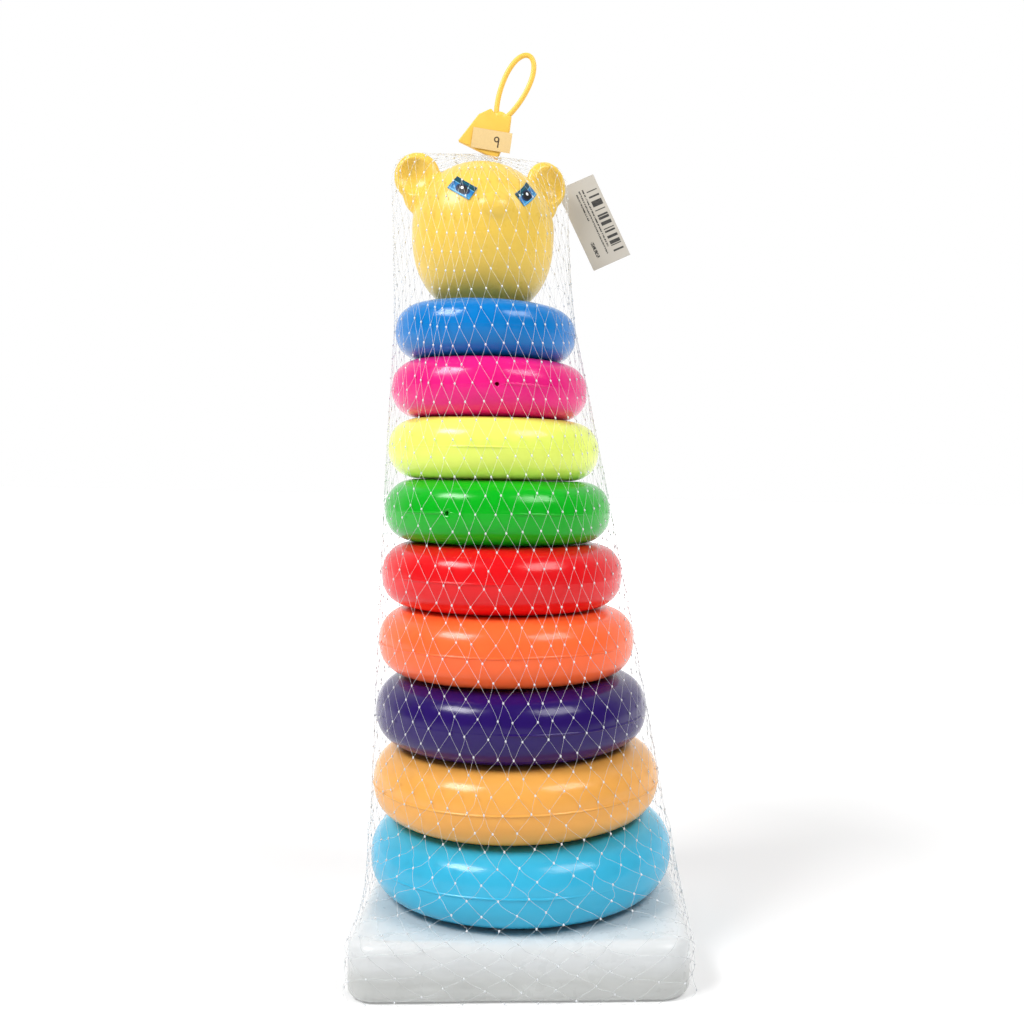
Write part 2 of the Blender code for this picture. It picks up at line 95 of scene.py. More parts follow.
HEAD_FOOT = Vector((lean_at(HEAD_LOW.z) - 1 * MM, 0, HEAD_LOW.z))
HEAD_TURN = radians(14)
HEAD_PLACE = Matrix.Translation(HEAD_FOOT) @ Matrix.Rotation(HEAD_TURN, 4, "Z")


# ---------------------------------------------------------------- colours and materials
def colour(red, green, blue):
    """A display colour, 0 to 255, as linear values."""

    def linear(value):
        share = value / 255
        return share / 12.92 if share <= 0.04045 else ((share + 0.055) / 1.055) ** 2.4

    return (linear(red), linear(green), linear(blue), 1.0)


def shaded(tone, share):
    return (*(min(1.0, part * share) for part in tone[:3]), 1.0)


class Surface:
    """A material with short calls for its nodes."""

    def __init__(self, name, **sockets):
        self.material = bpy.data.materials.new(name)
        self.material.use_nodes = True
        self.tree = self.material.node_tree
        self.shader = self.tree.nodes["Principled BSDF"]
        self.to_shader(**sockets)

    def node(self, kind, settings=None, **inputs):
        made = self.tree.nodes.new("ShaderNode" + kind)
        for key, value in (settings or {}).items():
            setattr(made, key, value)
        for key, value in inputs.items():
            self.feed(made.inputs[key.replace("_", " ")], value)
        return made

    def feed(self, socket, value):
        if isinstance(value, bpy.types.NodeSocket):
            self.tree.links.new(value, socket)
        else:
            socket.default_value = value

    def math(self, operation, first, second=0.0):
        made = self.node("Math", {"operation": operation})
        self.feed(made.inputs[0], first)
        self.feed(made.inputs[1], second)
        return made.outputs[0]

    def mix(self, share, first, second):
        made = self.node("Mix", {"data_type": "RGBA"})
        self.feed(made.inputs[0], share)
        self.feed(made.inputs[6], first)
        self.feed(made.inputs[7], second)
        return made.outputs[2]

    def noise(self, scale, detail, stretch=(1, 1, 1)):
        place = self.node("TexCoord").outputs["Object"]
        mapped = self.node("Mapping", Vector=place, Scale=stretch).outputs[0]
        made = self.node("TexNoise", Vector=mapped, Scale=scale, Detail=detail, Roughness=0.55)
        return made.outputs["Fac"]

    def spread(self, value, low, high, to_low, to_high):
        made = self.node("MapRange")
        for socket, number in zip(made.inputs, (value, low, high, to_low, to_high)):
            self.feed(socket, number)
        return made.outputs[0]

    def patches(self, scale, detail, low, high, stretch=(1, 1, 1)):
        """Soft patches of noise, from one value to another."""
        return self.spread(self.noise(scale, detail, stretch), 0.3, 0.7, low, high)

    def bump(self, height, distance, after=None):
        made = self.node("Bump", Height=height, Distance=distance, Strength=1.0)
        if after:
            self.feed(made.inputs["Normal"], after)
        return made.outputs[0]

    def to_shader(self, **inputs):
        for key, value in inputs.items():
            self.feed(self.shader.inputs[key.replace("_", " ")], value)
        return self.material


def moulded_plastic(name, tone, gloss=0.17, glow=0.12):
    """Blow-moulded plastic: slow waves from uneven cooling, faint flow marks and light scuffs."""
    surface = Surface(
        name,
        Subsurface_Weight=glow,
        Subsurface_Radius=tuple(0.3 + 0.7 * part for part in tone[:3]),
        Subsurface_Scale=3 * MM,
        Specular_IOR_Level=0.32,
    )
    flow = surface.patches(38, 3, 0.0, 1.0, (1, 1, 2.4))
    base = surface.mix(flow, shaded(tone, 0.96), shaded(tone, 1.04))
    rough = surface.spread(surface.noise(170, 4), 0.35, 0.75, gloss, gloss + 0.09)
    waves = surface.bump(surface.noise(26, 1), 0.25 * MM)
    grain = surface.bump(surface.noise(420, 2), 0.006 * MM, after=waves)
    return surface.to_shader(Base_Color=base, Roughness=rough, Normal=grain)


RING_TONES = {
    "ring_1_light_blue": colour(56, 176, 214),
    "ring_2_light_orange": colour(234, 167, 80),
    "ring_3_purple": colour(36, 10, 94),
    "ring_4_orange": colour(255, 106, 52),
    "ring_5_red": colour(222, 14, 22),
    "ring_6_green": colour(0, 170, 24),
    "ring_7_yellow": colour(226, 240, 104),
    "ring_8_pink": colour(226, 24, 122),
    "ring_9_blue": colour(0, 116, 190),
}
HEAD_TONE = colour(226, 190, 80)
CLIP_TONE = colour(230, 186, 78)
THREAD_TONE = colour(234, 237, 240)


# ---------------------------------------------------------------- mesh helpers
def new_piece(name, points, faces, material):
    mesh = bpy.data.meshes.new(name)
    mesh.from_pydata([tuple(point) for point in points], [], [tuple(face) for face in faces])
    mesh.update()
    return piece_from(name, mesh, material)


def coat(piece, material):
    """One material and smooth shading all over."""
    piece.data.materials.clear()
    piece.data.materials.append(material)
    piece.data.shade_smooth()


def piece_from(name, mesh, material):
    piece = bpy.data.objects.new(name, mesh)
    bpy.context.scene.collection.objects.link(piece)
    coat(piece, material)
    return piece


def modify(piece, kind, **settings):
    modifier = piece.modifiers.new(kind.lower(), kind)
    for key, value in settings.items():
        setattr(modifier, key, value)


def settle(piece):
    """Replace a piece's mesh by what its modifiers make of it."""
    bpy.context.view_layer.update()
    made = piece.evaluated_get(bpy.context.evaluated_depsgraph_get())
    mesh = bpy.data.meshes.new_from_object(made)
    piece.modifiers.clear()
    piece.data = mesh


def cut(piece, *cutters, operation="DIFFERENCE"):
    """Apply Booleans, and remove the shapes that they used."""
    for cutter in cutters:
        modify(piece, "BOOLEAN", operation=operation, solver="EXACT", object=cutter)
    settle(piece)
    for cutter in cutters:
        bpy.data.objects.remove(cutter, do_unlink=True)


def piece_of(name, bm, material):
    """A piece made of bm, which is used up, with its faces turned outwards."""
    bmesh.ops.recalc_face_normals(bm, faces=bm.faces)
    mesh = bpy.data.meshes.new(name)
    bm.to_mesh(mesh)
    bm.free()
    return piece_from(name, mesh, material)


def turn_outwards(mesh):
    """Merge a mesh's doubled points, and turn its faces outwards."""
    bm = bmesh.new()
    bm.from_mesh(mesh)
    bmesh.ops.remove_doubles(bm, verts=bm.verts, dist=1e-6)
    bmesh.ops.recalc_face_normals(bm, faces=bm.faces)
    bm.to_mesh(mesh)
    bm.free()


def bar(name, start, end, radius, material, steps=24):
    """A round bar between two points, used as a cutter."""
    along = end - start
    turn = along.to_track_quat("Z", "Y").to_matrix().to_4x4()
    place = Matrix.Translation((start + end) / 2) @ turn
    sizes = {"radius1": radius, "radius2": radius, "depth": along.length}
    bm = bmesh.new()
    bmesh.ops.create_cone(bm, cap_ends=True, segments=steps, matrix=place, **sizes)
    return piece_of(name, bm, material)


def ellipsoid(name, centre, radii, material):
    bm = bmesh.new()
    bmesh.ops.create_uvsphere(bm, u_segments=40, v_segments=20, radius=1)
    place = Matrix.Translation(centre) @ Matrix.Diagonal((*radii, 1))
    bmesh.ops.transform(bm, matrix=place, verts=bm.verts)
    return piece_of(name, bm, material)


def grid_faces(rows, columns, wrap_rows=False, wrap_columns=True):
    faces = []
    for i in range(rows if wrap_rows else rows - 1):
        for j in range(columns if wrap_columns else columns - 1):
            k, m = (i + 1) % rows, (j + 1) % columns
            faces.append((i * columns + j, i * columns + m, k * columns + m, k * columns + j))
    return faces


def closed_faces(rows, columns):
    """Faces of rows of points that go round, with one face over each end."""
    first, last = range(columns), range((rows - 1) * columns, rows * columns)
    return grid_faces(rows, columns) + [tuple(reversed(first)), tuple(last)]


def shifted(faces, start):
    return [tuple(i + start for i in face) for face in faces]


def turned(name, profile, steps, material):
    """A mesh turned about Z from (radius, height) points, with a flat face at each end."""
    points = []
    for radius, height in profile:
        for step in range(steps):
            angle = tau * step / steps
            points.append((radius * cos(angle), radius * sin(angle), height))
    piece = new_piece(name, points, closed_faces(len(profile), steps), material)
    turn_outwards(piece.data)
    return piece


def waves_of(random, count, lowest, highest):
    """Random sine waves round a circle, as a function of the angle, from about -1 to 1."""
    orders = random.integers(lowest, highest + 1, count)
    phases = random.uniform(0, tau, count)
    sizes = random.uniform(0.5, 1.0, count)

    def value(angle):
        angle = np.asarray(angle, float)
        total = sum(s * np.sin(o * angle + p) for s, o, p in zip(sizes, orders, phases))
        return total / sizes.sum() * 1.6

    return value


# ---------------------------------------------------------------- rings
SECTION_POWER = 2.3  # of a ring's section: 2 is an ellipse, and more is squarer
# Where the blow needle went in, in degrees from +X, from the lowest ring up
NEEDLES = (-15, 150, 60, 200, 100, -112, 30, -83, 170)
# Where the moulds' parting line stands proud, in degrees to each side of the front
FLASHES = (
    ((-53, 19),),
    ((-80, 80),),
    ((-2, 70),),
    ((-75, 55),),
    ((-48, 2),),
    ((-50, -20), (10, 51)),
    ((-18, 8),),
    ((11, 42),),
    ((60, 90),),
)
FLASH_LEAST = 0.12  # share of FLASH_HEIGHT that stands proud all round
FLASH_FADE = radians(5)
FLASH_HEIGHT = 0.6 * MM
FLASH_WIDTH = 0.32 * MM
FLASH_SWAY = 0.25 * MM  # up and down, round a ring
RING_DENTS = 0.10 * MM
RING_STEPS = 180  # round a ring
SECTION_STEPS = 48  # round its section
NEEDLE_RADIUS = 1.0 * MM
RING_SWELL = 0.12 * MM  # each ring sags onto the next, and hides most of the gap between them


def section_point(angle, half_wide, half_thick):
    power = 2 / SECTION_POWER
    across = half_wide * copysign(abs(cos(angle)) ** power, cos(angle))
    return across, half_thick * copysign(abs(sin(angle)) ** power, sin(angle))


def flash_share(turn, flashes):
    """How proud the parting line stands in a direction, from 0 to 1."""
    side = (turn + pi / 2 + pi) % tau - pi
    share = FLASH_LEAST
    for start, end in flashes:
        inside = min(side - radians(start), radians(end) - side)
        share = max(share, min(1.0, 0.5 + inside / FLASH_FADE))
    return share


def section_angles(half_wide):
    """Directions round a ring's section, close together at its parting line."""
    fine = [step * FLASH_WIDTH / half_wide / 2 for step in range(-4, 5)]
    coarse = np.linspace(-pi, pi, SECTION_STEPS + 1)[:-1]
    return sorted(fine + [angle for angle in coarse if abs(angle) > fine[-1] * 1.4])


def ring_points(node, number):
    """Points of a ring, as rows round it."""
    middle, radius, half_wide, half_thick = ring_measures(node)
    half_thick += RING_SWELL
    sway = waves_of(np.random.default_rng(100 + number), 4, 1, 5)
    centre_line = radius - half_wide
    points = []
    for angle in section_angles(half_wide):
        across, up = section_point(angle, half_wide, half_thick)
        ridge = np.exp(-((up / FLASH_WIDTH) ** 2)) if across > 0 else 0.0
        for step in range(RING_STEPS):
            turn = tau * step / RING_STEPS
            share = flash_share(turn, FLASHES[number - 1])
            out = centre_line + across + ridge * share * FLASH_HEIGHT
            out -= RING_DENTS * (1 + float(sway(turn + 2 * angle)))
            line = FLASH_SWAY * float(sway(turn)) * max(0.0, cos(angle))
            height = min(max(up + line, -half_thick), half_thick)
            points.append((middle.x + out * cos(turn), out * sin(turn), middle.z + height))
    return points


def make_ring(node, number, needle):
    plastic = moulded_plastic(node + "_plastic", RING_TONES[node])
    points = ring_points(node, number)
    faces = grid_faces(len(points) // RING_STEPS, RING_STEPS, wrap_rows=True)
    ring = new_piece("ring_shell_" + str(number), points, faces, plastic)
    middle, radius, _, _ = ring_measures(node)
    outwards = heading(radians(needle))
    centre = Vector((middle.x, 0, middle.z))
    start, end = centre + outwards * (radius - 7 * MM), centre + outwards * (radius + 5 * MM)
    cut(ring, bar("needle", start, end, NEEDLE_RADIUS, plastic))
    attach(ring, f"ring_{number}")
    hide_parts(node)


# ---------------------------------------------------------------- base and post
BASE_CORNER = 13 * MM
BASE_EDGE = 4 * MM
BASE_TOP_EDGE = 5.5 * MM
BASE_DENTS = 0.35 * MM
BASE_DISH = 0.5 * MM  # how far the middle of its top is sunk
SOCKET_RADIUS = 26.3 * MM
VENT_PLACE = (45 * MM, 30 * MM)
CORNER_STEPS, SIDE_STEPS, EDGE_STEPS, WALL_STEPS = 10, 12, 8, 6


def rounded_square(half, corner):
    """Points round a square with round corners."""
    arcs = []
    for quarter in range(4):
        middle = (quarter + 0.5) * pi / 2
        x, y = (copysign(half - corner, part) for part in (cos(middle), sin(middle)))
        angles = [(quarter + step / CORNER_STEPS) * pi / 2 for step in range(CORNER_STEPS + 1)]
        arcs.append([(x + corner * cos(a), y + corner * sin(a)) for a in angles])
    outline = []
    shares = [step / SIDE_STEPS for step in range(1, SIDE_STEPS)]
    for arc, following in zip(arcs, arcs[1:] + arcs[:1]):
        (x, y), (next_x, next_y) = arc[-1], following[0]
        outline += arc + [(x + (next_x - x) * s, y + (next_y - y) * s) for s in shares]
    return outline


def base_plastic():
    surface = Surface(
        "base_plastic",
        Subsurface_Weight=0.25,
        Subsurface_Radius=(1.0, 1.0, 1.0),
        Subsurface_Scale=5 * MM,
        Specular_IOR_Level=0.45,
    )
    cloud = surface.patches(30, 4, 0.0, 1.0)
    place = surface.node("SeparateXYZ", Vector=surface.node("TexCoord").outputs["Object"])
    # Painted light and shade: the sides are painted darker and the top lighter and a little bluer,
    # as the lamps above light the top more than the sides
    lit_top_share = surface.spread(place.outputs[2], 9 * MM, 17 * MM, 0.0, 1.0)
    side = surface.mix(cloud, colour(189, 191, 189), colour(197, 199, 197))
    top = surface.mix(cloud, colour(209, 212, 213), colour(216, 219, 220))
    base = surface.mix(lit_top_share, side, top)
    rough = surface.patches(120, 4, 0.22, 0.4)
    waves = surface.bump(surface.noise(27, 3, (0.5, 0.5, 1.7)), 2.0 * MM)
    dimples = surface.bump(surface.noise(120, 2, (0.7, 0.7, 1.6)), 0.12 * MM, after=waves)
    return surface.to_shader(Base_Color=base, Roughness=rough, Normal=dimples)


def base_levels(height):
    """(distance inwards, height) of the base's side, from the bottom up, with round edges."""
    arc = [step / EDGE_STEPS * pi / 2 for step in range(EDGE_STEPS + 1)]
    levels = [(BASE_EDGE * (1 - sin(a)), BASE_EDGE * (1 - cos(a))) for a in arc]
    wall = height - BASE_EDGE - BASE_TOP_EDGE
    levels += [(0.0, BASE_EDGE + wall * step / WALL_STEPS) for step in range(1, WALL_STEPS)]
    top = height - BASE_TOP_EDGE
    return levels + [(BASE_TOP_EDGE * (1 - cos(a)), top + BASE_TOP_EDGE * sin(a)) for a in arc]


def make_base():
    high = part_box("base")[1]
    half, height = high.x, high.z
    levels = base_levels(height)
    sway = waves_of(np.random.default_rng(7), 5, 2, 7)
    points = []
    for inset, rise in levels:
        for x, y in rounded_square(half - inset, BASE_CORNER - inset):
            sink = BASE_DENTS * (1 + float(sway(atan2(y, x)))) / 2
            shrink = 1 - sink / half
            points.append((x * shrink, y * shrink, rise))
    columns = len(points) // len(levels)
    rim = points[-columns:]
    shares = (0.8, 0.6, 0.45)  # of the way out, for the rows across the top
    for share in shares:
        points += [(x * share, y * share, z - BASE_DISH * (1 - share)) for x, y, z in rim]
    faces = closed_faces(len(levels) + len(shares), columns)
    plastic = base_plastic()
    base = new_piece("base_shell", points, faces, plastic)
    floor, above = Vector((0, 0, POST_LOW.z - GAP)), Vector((0, 0, 2 * height))
    socket = bar("socket", floor, above, SOCKET_RADIUS, plastic, 72)
    below, inside = Vector((*VENT_PLACE, -10 * MM)), Vector((*VENT_PLACE, 12 * MM))
    cut(base, socket, bar("vent", below, inside, 2 * MM, plastic))
    base.data.set_sharp_from_angle(angle=radians(50))
    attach(base, "stand")
    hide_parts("base")


POST_PLAY = 1.8 * MM  # between the post and a ring's hole
POST_ROUNDING = 0.8 * MM
SPIGOT_RADIUS = 6.2 * MM


def post_profile():
    """(radius, height) points of a cone with a spigot at each end, from the bottom up."""
    low, high = (r - 2 * half_wide - POST_PLAY for _, r, half_wide, _ in (LOWEST, HIGHEST))
    taper = (low - high) / (HIGHEST[0].z - LOWEST[0].z)

    def outside(height):
        return low - taper * (height - LOWEST[0].z)

    plug, foot, top = SOCKET_RADIUS - GAP, BASE_TOP + GAP, POST_HIGH.z
    profile = [
        (plug, POST_LOW.z),
        (plug, foot),
        (outside(foot) - POST_ROUNDING, foot),
        (outside(foot), foot + POST_ROUNDING),
    ]
    for step in range(1, 12):
        height = foot + (STACK_TOP - foot) * step / 12
        profile.append((outside(height), height))
    return profile + [
        (outside(STACK_TOP), STACK_TOP - POST_ROUNDING),
        (outside(STACK_TOP) - POST_ROUNDING, STACK_TOP),
        (SPIGOT_RADIUS, STACK_TOP),
        (SPIGOT_RADIUS, top - POST_ROUNDING),
        (SPIGOT_RADIUS - POST_ROUNDING, top),
    ]


def make_post():
    """The leaning cone, whose upper spigot stands upright."""
    plastic = moulded_plastic("post_plastic", colour(220, 220, 217), gloss=0.3)
    post = turned("post_shell", post_profile(), 96, plastic)
    for vertex in post.data.vertices:
        vertex.co.x += lean_at(min(vertex.co.z, STACK_TOP))
    post.data.set_sharp_from_angle(angle=radians(50))
    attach(post, "stand")
    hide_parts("post")


# ---------------------------------------------------------------- head
HEAD_RADIUS = 32.7 * MM
HEAD_WIDEST = 35 * MM
HEAD_HEIGHT = 66.5 * MM
HEAD_LOWER_AXIS = 38.5 * MM
HEAD_LOWER_POWER = 2.4
HEAD_FOOT_RADIUS = 19.5 * MM
EAR_SETBACK = 4 * MM
EAR_SWEEP = radians(20)
# Of each part of an ear: distance from the head's axis, height, radii
EAR_LOBE = (30.4 * MM, 58.0 * MM, (10.8 * MM, 4.8 * MM, 11.2 * MM))
EAR_ROOT = (29.0 * MM, 50.0 * MM, (7.8 * MM, 4.4 * MM, 9.5 * MM))
# The same for the hollow in its front, which lies forwards of the lobe
EAR_DISH = (30.9 * MM, 57.8 * MM, (8.4 * MM, 5.6 * MM, 8.7 * MM))
DISH_FORWARDS = -5.0 * MM
EAR_LIFTS = {-1: 0.3 * MM, 1: 2.2 * MM}  # the moulded head isn't quite even
MUZZLE_PLACE = Vector((0, -23.5 * MM, 39 * MM))
MUZZLE_RADII = (11.5 * MM, 11 * MM, 9.5 * MM)
NECK_SOCKET_RADIUS = 8.7 * MM


def head_radius(rise):
    """The head's radius at a height above its foot."""
    if rise > HEAD_WIDEST:
        share = (rise - HEAD_WIDEST) / (HEAD_HEIGHT - HEAD_WIDEST)
        return HEAD_RADIUS * sqrt(max(0.0, 1 - share**2))
    share = (HEAD_WIDEST - rise) / HEAD_LOWER_AXIS
    lower = HEAD_RADIUS * (1 - share**HEAD_LOWER_POWER) ** (1 / HEAD_LOWER_POWER)
    return max(lower, HEAD_FOOT_RADIUS)


def ear_part(name, side, measures, material, forwards=0.0):
    """A rounded part of an ear, whose outer edge is swept back."""
    offset, rise, radii = measures
    part = ellipsoid(name, Vector((0, forwards, 0)), radii, material)
    sweep = Matrix.Rotation(side * EAR_SWEEP, 4, "Z")
    middle = Vector((side * offset, EAR_SETBACK, rise + EAR_LIFTS[side]))
    part.data.transform(Matrix.Translation(middle) @ sweep)
    return part


def head_profile():
    """(radius, height) points of the head without ears and muzzle, from the bottom up."""
    profile = [(0.0, 0.0), (HEAD_FOOT_RADIUS - 1 * MM, 0.0), (HEAD_FOOT_RADIUS, 1 * MM)]
    profile += [(head_radius(step * MM), step * MM) for step in range(2, int(HEAD_WIDEST / MM))]
    for step in range(40):
        rise = HEAD_WIDEST + (HEAD_HEIGHT - HEAD_WIDEST) * sin(step / 39 * pi / 2)
        profile.append((head_radius(rise), rise))
    return profile


def make_head():
    plastic = moulded_plastic("head_plastic", HEAD_TONE, gloss=0.26, glow=0.14)
    head = turned("bear_head", head_profile(), 96, plastic)
    parts = []
    for side in (-1, 1):
        parts.append(ear_part("lobe", side, EAR_LOBE, plastic))
        parts.append(ear_part("root", side, EAR_ROOT, plastic))
    parts.append(ellipsoid("muzzle", MUZZLE_PLACE, MUZZLE_RADII, plastic))
    cut(head, *parts, operation="UNION")
    cut(head, *(ear_part("dish", side, EAR_DISH, plastic, DISH_FORWARDS) for side in (-1, 1)))
    modify(head, "REMESH", mode="VOXEL", voxel_size=0.75 * MM)
    modify(head, "SMOOTH", factor=0.5, iterations=7)
    settle(head)
    mouth, depth = Vector((0, 0, -SPARE)), Vector((0, 0, POST_HIGH.z - HEAD_LOW.z + SPARE))
    cut(head, bar("neck_socket", mouth, depth, NECK_SOCKET_RADIUS, plastic, 48))
    head.data.transform(HEAD_PLACE)
    coat(head, plastic)
    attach(head, "head")
    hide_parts("head")
    return head


def tree_of(piece):
    bm = bmesh.new()
    bm.from_mesh(piece.data)
    tree = BVHTree.FromBMesh(bm)
    bm.free()
    return tree


# ---------------------------------------------------------------- printed pieces
class Art(Surface):
    """A print on a flat piece. Its shapes are placed in millimetres on the piece's own plane."""

    def __init__(self, name, paper, **sockets):
        super().__init__(name, **sockets)
        place = self.node("Attribute", {"attribute_name": "print_place"}).outputs["Vector"]
        split = self.node("SeparateXYZ", Vector=place)
        self.x, self.y = split.outputs[0], split.outputs[1]
        self.printed = self.math("SUBTRACT", 1.0, split.outputs[2])
        self.tone = paper

    def box(self, x, y, wide, high):
        past = []
        for place, middle, size in ((self.x, x, wide), (self.y, y, high)):
            off = self.math("ABSOLUTE", self.math("SUBTRACT", place, middle))
            past.append(self.math("SUBTRACT", off, size / 2))
        return self.spread(self.math("MAXIMUM", *past), -0.05, 0.05, 1.0, 0.0)

    def oval(self, x, y, wide, high, softness=0.12):
        across = self.math("DIVIDE", self.math("SUBTRACT", self.x, x), wide / 2)
        up = self.math("DIVIDE", self.math("SUBTRACT", self.y, y), high / 2)
        square = self.math("ADD", self.math("POWER", across, 2.0), self.math("POWER", up, 2.0))
        return self.spread(square, 1 - softness, 1 + softness, 1.0, 0.0)

    def paint(self, mask, tone):
        self.tone = self.mix(self.math("MULTIPLY", mask, self.printed), self.tone, tone)


def printed_sheet(name, low, high, lay, thickness, material, steps=(24, 14)):
    """A thin closed sheet with corners at low and high, in millimetres on its own plane. lay
    gives the point and the normal at a place on it."""
    rows, columns = steps[0] + 1, steps[1] + 1
    places = []
    for row in range(rows):
        for column in range(columns):
            x = low[0] + (high[0] - low[0]) * column / (columns - 1)
            y = low[1] + (high[1] - low[1]) * row / (rows - 1)
            places.append((x, y))
    laid = [lay(x, y) for x, y in places]
    points = [p + n * thickness * side for side in (0.5, -0.5) for p, n in laid]
    faces = [tuple(reversed(f)) for f in grid_faces(rows, columns, wrap_columns=False)]
    faces += [tuple(i + len(laid) for i in reversed(f)) for f in faces]
    border = list(range(columns))
    border += [i * columns + columns - 1 for i in range(1, rows)]
    border += [(rows - 1) * columns + j for j in range(columns - 2, -1, -1)]
    border += [i * columns for i in range(rows - 2, 0, -1)]
    for i, j in zip(border, border[1:] + border[:1]):
        faces.append((i, j, j + len(laid), i + len(laid)))
    sheet = new_piece(name, points, faces, material)
    turn_outwards(sheet.data)
    sheet.data.set_sharp_from_angle(angle=radians(40))
    # Each vertex's place on the print, with 1 for Z on the blank back
    layer = sheet.data.attributes.new("print_place", "FLOAT_VECTOR", "POINT")
    marks = [(x, y, back) for back in (0, 1) for x, y in places]
    layer.data.foreach_set("vector", np.array(marks, np.float32).ravel())
    return sheet


def flat_on(place, curl):
    """Lays a label in a place's own X-Z plane, where it faces -Y and curls a little."""
    out = place.to_3x3() @ Vector((0, -1, 0))
    return lambda x, z: (place @ (Vector((x, curl(x, z), z)) * MM), out)


EYE_LENGTH, EYE_WIDTH = 12.5, 6.4  # in millimetres
EYE_RISE, EYE_ANGLE = 47.5 * MM, radians(29)  # of its middle, in the head's own frame
EYE_STAND, EYE_THICKNESS = 0.35 * MM, 0.25 * MM  # how far its middle is off the head
EYE_TILTS = {-1: radians(30), 1: radians(38)}  # stuck on by hand


def eye_print():
    art = Art("eye_print", colour(20, 104, 168), Roughness=0.34, Specular_IOR_Level=0.25)
    art.paint(art.spread(art.y, -3.0, 0.2, 0.8, 0.0), colour(52, 152, 204))
    art.paint(art.spread(art.x, 0.5, 5.5, 0.0, 0.6), colour(14, 92, 140))
    art.paint(art.box(0.0, 2.0, 13.0, 2.2), colour(2, 62, 78))
    art.paint(art.box(0.0, 0.95, 13.0, 0.2), colour(112, 186, 214))
    art.paint(art.box(-1.2, 2.4, 6.0, 0.24), colour(12, 104, 122))
    art.paint(art.oval(-1.0, -0.45, 7.4, 4.4), colour(6, 38, 78))
    art.paint(art.oval(-1.0, -0.35, 5.2, 3.5), colour(4, 6, 12))
    art.paint(art.box(0.0, -2.6, 13.0, 0.26), colour(120, 188, 216))
    art.paint(art.oval(-0.3, 0.0, 1.5, 1.3), colour(252, 252, 255))
    art.paint(art.oval(-2.9, 1.1, 0.8, 0.5), colour(150, 206, 226))
    art.paint(art.oval(3.6, -1.2, 0.9, 0.4), colour(130, 196, 224))
    lines = art.node("TexNoise", Scale=700.0, Detail=2.0)
    surface = art.bump(lines.outputs["Fac"], 0.01 * MM)
    return art.to_shader(Base_Color=art.tone, Normal=surface)


def make_eye(name, side, head_tree, material):
    tilt = EYE_TILTS[side]

    def on_head(x, y):
        outwards = (x * cos(tilt) - y * sin(tilt)) * MM
        rise = EYE_RISE + (x * sin(tilt) + y * cos(tilt)) * MM
        turn = side * (EYE_ANGLE + outwards / head_radius(EYE_RISE)) - pi / 2
        direction = HEAD_PLACE.to_3x3() @ heading(turn)
        middle = HEAD_PLACE @ Vector((0, 0, rise))
        start = middle + direction * 2 * HEAD_RADIUS
        found, normal = head_tree.ray_cast(start, -direction)[:2]
        return found + normal * EYE_STAND, normal

    wide, high = EYE_LENGTH / 2, EYE_WIDTH / 2
    sheet = name + "_sticker", (-wide, -high), (wide, high)
    eye = printed_sheet(*sheet, on_head, EYE_THICKNESS, material, (14, 26))
    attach(eye, "head")
    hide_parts(name)


# ---------------------------------------------------------------- clip, its sticker and the tag
CLIP_FOOT = joint_place("clip_tip")
CLIP_PLACE = Matrix.Translation(CLIP_FOOT) @ Matrix.Rotation(radians(24), 4, "Y")
CLIP_THICKNESS = 3 * MM
CLIP_OUTLINE = (  # in millimetres, from the middle of its foot
    (-10.1, 0.0),
    (10.1, 0.0),
    (9.8, 15.0),
    (7.5, 22.0),
    (2.5, 18.2),
    (-2.5, 20.7),
    (-6.6, 15.7),
)


def clip_plate(name, material):
    """The clip's body, with sharp edges as yet."""
    bm = bmesh.new()
    corners = [(x * MM, -CLIP_THICKNESS / 2, z * MM) for x, z in CLIP_OUTLINE]
    front = bm.faces.new([bm.verts.new(corner) for corner in corners])
    back = bmesh.ops.extrude_face_region(bm, geom=[front])["geom"]
    moved = [item for item in back if isinstance(item, bmesh.types.BMVert)]
    bmesh.ops.translate(bm, verts=moved, vec=(0, CLIP_THICKNESS, 0))
    return piece_of(name, bm, material)


def loop_line(count):
    """The hanging loop's middle, in the clip's plane, in metres."""
    points = []
    for step in range(count):
        angle = tau * step / count
        across = 5.8 * (1 + 0.2 * sin(angle)) * cos(angle)
        points.append(Vector(((3.0 + across) * MM, 0, (34.5 + 16.7 * sin(angle)) * MM)))
    return points


def closed_tube(points, wide, deep, sides):
    """(points, faces) of a closed tube along points that lie in an X-Z plane."""
    made = []
    for before, point, after in zip(points[-1:] + points[:-1], points, points[1:] + points[:1]):
        across = (after - before).cross(Vector((0, 1, 0))).normalized()
        for side in range(sides):
            turn = tau * side / sides
            made.append(point + across * wide * cos(turn) + Vector((0, deep * sin(turn), 0)))
    return made, grid_faces(len(points), sides, wrap_rows=True)


def clip_plastic():
    surface = Surface("clip_plastic", Specular_IOR_Level=0.35)
    cloud = surface.patches(90, 2, 0.0, 1.0)
    base = surface.mix(cloud, shaded(CLIP_TONE, 0.96), shaded(CLIP_TONE, 1.04))
    rough = surface.patches(160, 2, 0.34, 0.44)
    bumps = surface.bump(surface.noise(120, 1), 0.02 * MM)
    return surface.to_shader(Base_Color=base, Roughness=rough, Normal=bumps)


def make_clip():
    plastic = clip_plastic()
    clip = clip_plate("clip_body", plastic)
    points, faces = closed_tube(loop_line(120), 1.22 * MM, 0.95 * MM, 20)
    strap = new_piece("strap", points, faces, plastic)
    turn_outwards(strap.data)
    collar_place, collar_radii = Vector((3.2, 0, 18.6)) * MM, (3.6 * MM, 1.5 * MM, 3.2 * MM)
    collar = ellipsoid("collar", collar_place, collar_radii, plastic)
    modify(clip, "BEVEL", width=0.55 * MM, segments=4)
    settle(clip)
    cut(clip, strap, collar, operation="UNION")
    coat(clip, plastic)
    clip.data.set_sharp_from_angle(angle=radians(35))
    clip.data.transform(CLIP_PLACE)
    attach(clip, "clip")
    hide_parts("net_clip")


